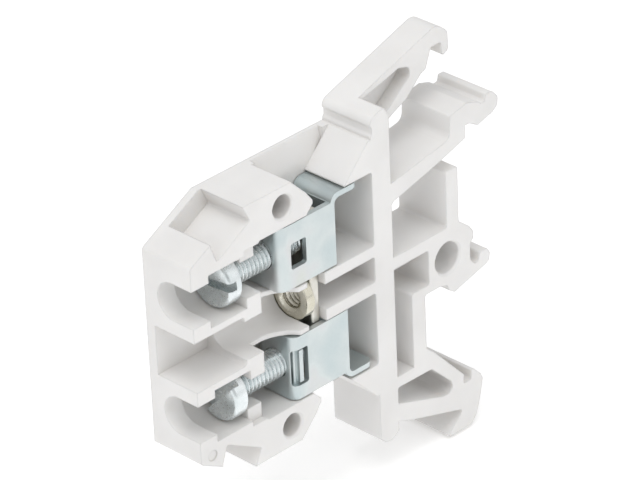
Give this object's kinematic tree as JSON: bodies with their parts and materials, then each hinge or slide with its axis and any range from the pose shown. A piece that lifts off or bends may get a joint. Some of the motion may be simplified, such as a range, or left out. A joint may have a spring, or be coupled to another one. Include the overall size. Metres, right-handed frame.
{
  "type": "din rail terminal block",
  "caption": "Open-sided feed-through screw terminal block that clips onto a top-hat rail and joins two wires through a bar.",
  "frame": {"origin": "middle of the block's thickness, on the rail's centre line, in the plane of the rail's front flanges", "axes": "+X across the thickness to the open side, +Y from the screw heads towards the rail, +Z along the wires towards the fixed hook"},
  "size_m": [0.0063, 0.0408, 0.0427],
  "materials": {
    "polyamide": "matt satin moulded polyamide",
    "plated_copper": "tin-plated copper",
    "plated_brass": "nickel-plated turned brass",
    "zinc_steel": "blue-passivated zinc on pressed steel",
    "screw_steel": "blue-passivated zinc on a turned screw"
  },
  "bodies": {
    "terminal": {"housing": "polyamide", "current_bar": "plated_copper", "bridge_bush": "plated_brass"},
    "upper_cage": {"upper_clamp_cage": "zinc_steel"},
    "lower_cage": {"lower_clamp_cage": "zinc_steel"},
    "upper_screw": {"upper_clamp_screw": "screw_steel"},
    "lower_screw": {"lower_clamp_screw": "screw_steel"}
  },
  "joints": [
    {"name": "upper_screw_turn", "type": "hinge", "parent": "terminal", "child": "upper_screw", "pos_m": [0.00055, -0.025, 0.00605], "axis": [0, 1, 0], "range_deg": [-1153, 865]},
    {"name": "lower_screw_turn", "type": "hinge", "parent": "terminal", "child": "lower_screw", "pos_m": [0.00055, -0.025, -0.00605], "axis": [0, 1, 0], "range_deg": [-325, 1693]},
    {"name": "upper_cage_slide", "type": "slide", "parent": "terminal", "child": "upper_cage", "axis": [0, -1, 0], "range_m": [-0.0016, 0.0012]},
    {"name": "lower_cage_slide", "type": "slide", "parent": "terminal", "child": "lower_cage", "axis": [0, -1, 0], "range_m": [-0.00045, 0.00235]}
  ],
  "couplings": [
    {"joint": "upper_screw_turn", "follows": "upper_cage_slide", "rad_per_m": 12566},
    {"joint": "lower_screw_turn", "follows": "lower_cage_slide", "rad_per_m": 12566}
  ]
}
